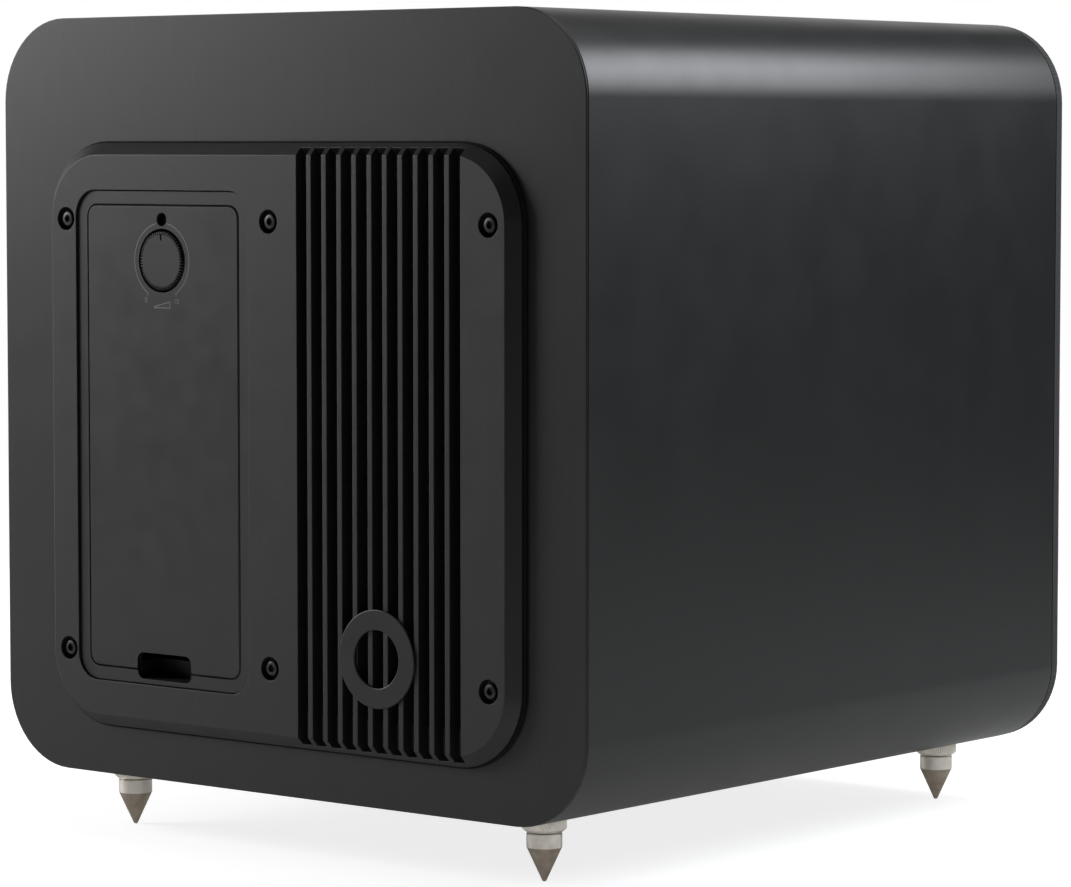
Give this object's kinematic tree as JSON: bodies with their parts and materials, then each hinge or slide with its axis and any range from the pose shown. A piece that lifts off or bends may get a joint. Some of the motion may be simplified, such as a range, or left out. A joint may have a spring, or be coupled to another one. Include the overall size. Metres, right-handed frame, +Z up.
{
  "type": "subwoofer",
  "caption": "Powered subwoofer: rounded black cabinet with a forward driver behind a pull-off grille, finned rear amplifier plate with covered sockets and level knob, on levelling spikes.",
  "frame": {"origin": "on the floor, under the middle of the bounding box", "axes": "+Z up, -Y towards the grille (front), +Y towards the amplifier plate (rear), +X to the left seen from behind"},
  "size_m": [0.294, 0.3188, 0.3185],
  "materials": {
    "cabinet_satin": "satin black film on board",
    "bare_board": "bare board",
    "felt": "loose fibre felt",
    "nickel": "bright nickel",
    "spike_nickel": "satin nickel, turned and knurled",
    "basket_cast": "black powder coat",
    "rubber": "smooth black rubber",
    "cone_black": "coated black cone",
    "cap_black": "coated black dome",
    "copper": "enamelled copper",
    "spider_cloth": "resin-dipped cloth",
    "steel": "plain steel",
    "ferrite": "ferrite",
    "moulded_black": "moulded black",
    "black_steel": "black oxide",
    "grille_fabric": "black knitted acoustic cloth",
    "plate_cast": "fine-textured black powder coat",
    "foam_seal": "closed-cell foam",
    "board_green": "solder mask",
    "winding": "enamelled wire under clear tape",
    "badge_black": "satin black",
    "tray_moulding": "moulded black, fine grain",
    "cover_moulding": "smooth matt black",
    "knob_moulding": "matt black",
    "control_metal": "plated can",
    "light_pipe": "smoked clear",
    "socket_black": "moulded black",
    "switch_black": "moulded black"
  },
  "bodies": {
    "cabinet": {"cabinet_wrap": "cabinet_satin", "rear_panel": "cabinet_satin", "front_baffle": "cabinet_satin", "window_brace": "bare_board", "acoustic_wadding": "felt", "grille_magnet_top": "nickel", "grille_magnet_bottom": "nickel", "grille_magnet_left": "nickel", "grille_magnet_right": "nickel", "lock_ring_rear_left": "spike_nickel", "lock_ring_front_left": "spike_nickel", "lock_ring_rear_right": "spike_nickel", "lock_ring_front_right": "spike_nickel", "driver_basket": "basket_cast", "driver_gasket": "rubber", "cone_surround": "rubber", "centring_spider": "spider_cloth", "top_plate": "steel", "magnet_yoke": "steel", "amp_back_box": "steel", "ferrite_magnet": "ferrite", "driver_terminals": "moulded_black", "driver_screw_1": "black_steel", "driver_screw_2": "black_steel", "driver_screw_3": "black_steel", "driver_screw_4": "black_steel", "driver_screw_5": "black_steel", "driver_screw_6": "black_steel", "plate_screw_1": "black_steel", "plate_screw_2": "black_steel", "plate_screw_3": "black_steel", "plate_screw_4": "black_steel", "plate_screw_5": "black_steel", "plate_screw_6": "black_steel", "amp_plate": "plate_cast", "amp_gasket": "foam_seal", "amp_board": "board_green", "toroidal_transformer": "winding", "badge_ring": "badge_black", "connection_tray": "tray_moulding", "level_control": "control_metal", "crossover_control": "control_metal", "led_light_pipe": "light_pipe", "input_sockets": "socket_black", "mains_inlet": "socket_black"},
    "cone_assembly": {"cone": "cone_black", "dust_cap": "cap_black", "voice_coil": "copper"},
    "grille": {"grille_frame": "moulded_black", "grille_cloth": "grille_fabric"},
    "tray_cover": {"tray_cover": "cover_moulding"},
    "level_knob": {"level_knob": "knob_moulding"},
    "crossover_knob": {"crossover_knob": "knob_moulding"},
    "phase_switch": {"phase_switch": "switch_black"},
    "power_mode_switch": {"power_mode_switch": "switch_black"},
    "mains_rocker": {"mains_rocker": "switch_black"},
    "spike_rear_left": {"spike_rear_left": "spike_nickel"},
    "spike_front_left": {"spike_front_left": "spike_nickel"},
    "spike_rear_right": {"spike_rear_right": "spike_nickel"},
    "spike_front_right": {"spike_front_right": "spike_nickel"}
  },
  "joints": [
    {"name": "cone_travel", "type": "slide", "parent": "cabinet", "child": "cone_assembly", "axis": [0, -1, 0], "range_m": [-0.008, 0.008], "stiffness_N_per_m": 2100, "deforming": ["cone_surround", "centring_spider"]},
    {"name": "grille_pull", "type": "slide", "parent": "cabinet", "child": "grille", "axis": [0, -1, 0], "range_m": [0, 0.04]},
    {"name": "cover_pull", "type": "slide", "parent": "cabinet", "child": "tray_cover", "axis": [0, 1, 0], "range_m": [0, 0.03]},
    {"name": "level_turn", "type": "hinge", "parent": "cabinet", "child": "level_knob", "pos_m": [0.0557, 0.15195, 0.2253], "axis": [0, -1, 0], "range_deg": [-150, 150]},
    {"name": "crossover_turn", "type": "hinge", "parent": "cabinet", "child": "crossover_knob", "pos_m": [0.0557, 0.10995, 0.194], "axis": [0, -1, 0], "range_deg": [-150, 150]},
    {"name": "phase_slide", "type": "slide", "parent": "cabinet", "child": "phase_switch", "axis": [1, 0, 0], "range_m": [0, 0.0044]},
    {"name": "power_mode_slide", "type": "slide", "parent": "cabinet", "child": "power_mode_switch", "axis": [1, 0, 0], "range_m": [-0.004, 0.004]},
    {"name": "mains_rock", "type": "hinge", "parent": "cabinet", "child": "mains_rocker", "pos_m": [0.0557, 0.11195, 0.12], "axis": [0, 0, 1], "range_deg": [0, 13]},
    {"name": "spike_rear_left_level", "type": "slide", "parent": "cabinet", "child": "spike_rear_left", "axis": [0, 0, -1], "range_m": [0, 0.008]},
    {"name": "spike_front_left_level", "type": "slide", "parent": "cabinet", "child": "spike_front_left", "axis": [0, 0, -1], "range_m": [0, 0.008]},
    {"name": "spike_rear_right_level", "type": "slide", "parent": "cabinet", "child": "spike_rear_right", "axis": [0, 0, -1], "range_m": [0, 0.008]},
    {"name": "spike_front_right_level", "type": "slide", "parent": "cabinet", "child": "spike_front_right", "axis": [0, 0, -1], "range_m": [0, 0.008]}
  ]
}
